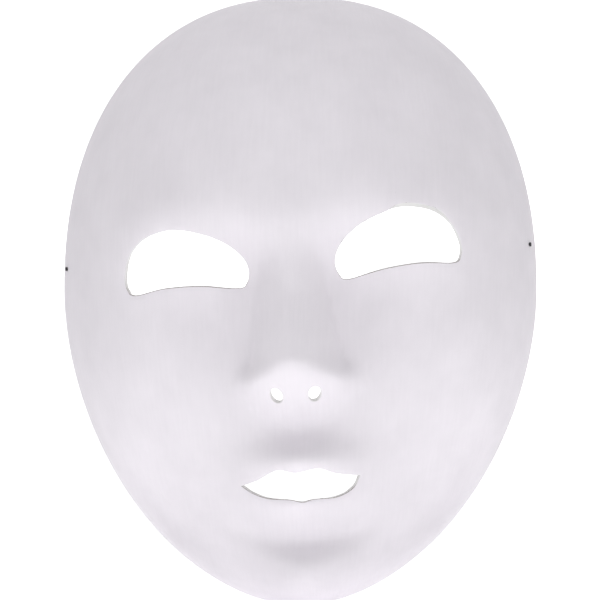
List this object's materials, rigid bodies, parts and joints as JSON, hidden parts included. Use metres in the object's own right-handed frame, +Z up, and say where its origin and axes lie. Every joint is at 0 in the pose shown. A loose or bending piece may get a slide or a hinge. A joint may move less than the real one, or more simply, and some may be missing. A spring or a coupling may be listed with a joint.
{
  "type": "full face costume mask",
  "caption": "Blank white full-face costume mask: a cloth-covered moulded shell with eye, nostril and mouth openings and a flat elastic head strap that swings on temple rivets.",
  "frame": {"origin": "in the plane of the cut rim, on the nose's axis, level with the two strap rivets", "axes": "+Z up as worn, the face looks along -Y, +X is the wearer's left"},
  "size_m": [0.1822, 0.077, 0.234],
  "materials": {
    "moulded_shell": "matt, slightly rough moulded sheet",
    "cover_cloth": "fine plain weave, matt, bonded to the shell",
    "lining_cloth": "soft matt non-woven lining",
    "elastic": "ribbed woven elastic, matt",
    "thread": "twisted polyester thread",
    "dark_rivet": "black oxide, low sheen",
    "washer_steel": "zinc plated, fine brushed"
  },
  "bodies": {
    "mask": {"face_shell": "moulded_shell", "face_fabric": "cover_cloth", "face_lining": "lining_cloth", "rivet_left": "dark_rivet", "rivet_right": "dark_rivet"},
    "strap": {"head_strap": "elastic", "strap_stitches_left": "thread", "strap_stitches_right": "thread", "washer_left": "washer_steel", "washer_right": "washer_steel"}
  },
  "joints": [
    {"name": "strap_swing", "type": "hinge", "parent": "mask", "child": "strap", "pos_m": [0, -0.0105, 0], "axis": [1, 0, 0], "range_deg": [0, 150]}
  ]
}
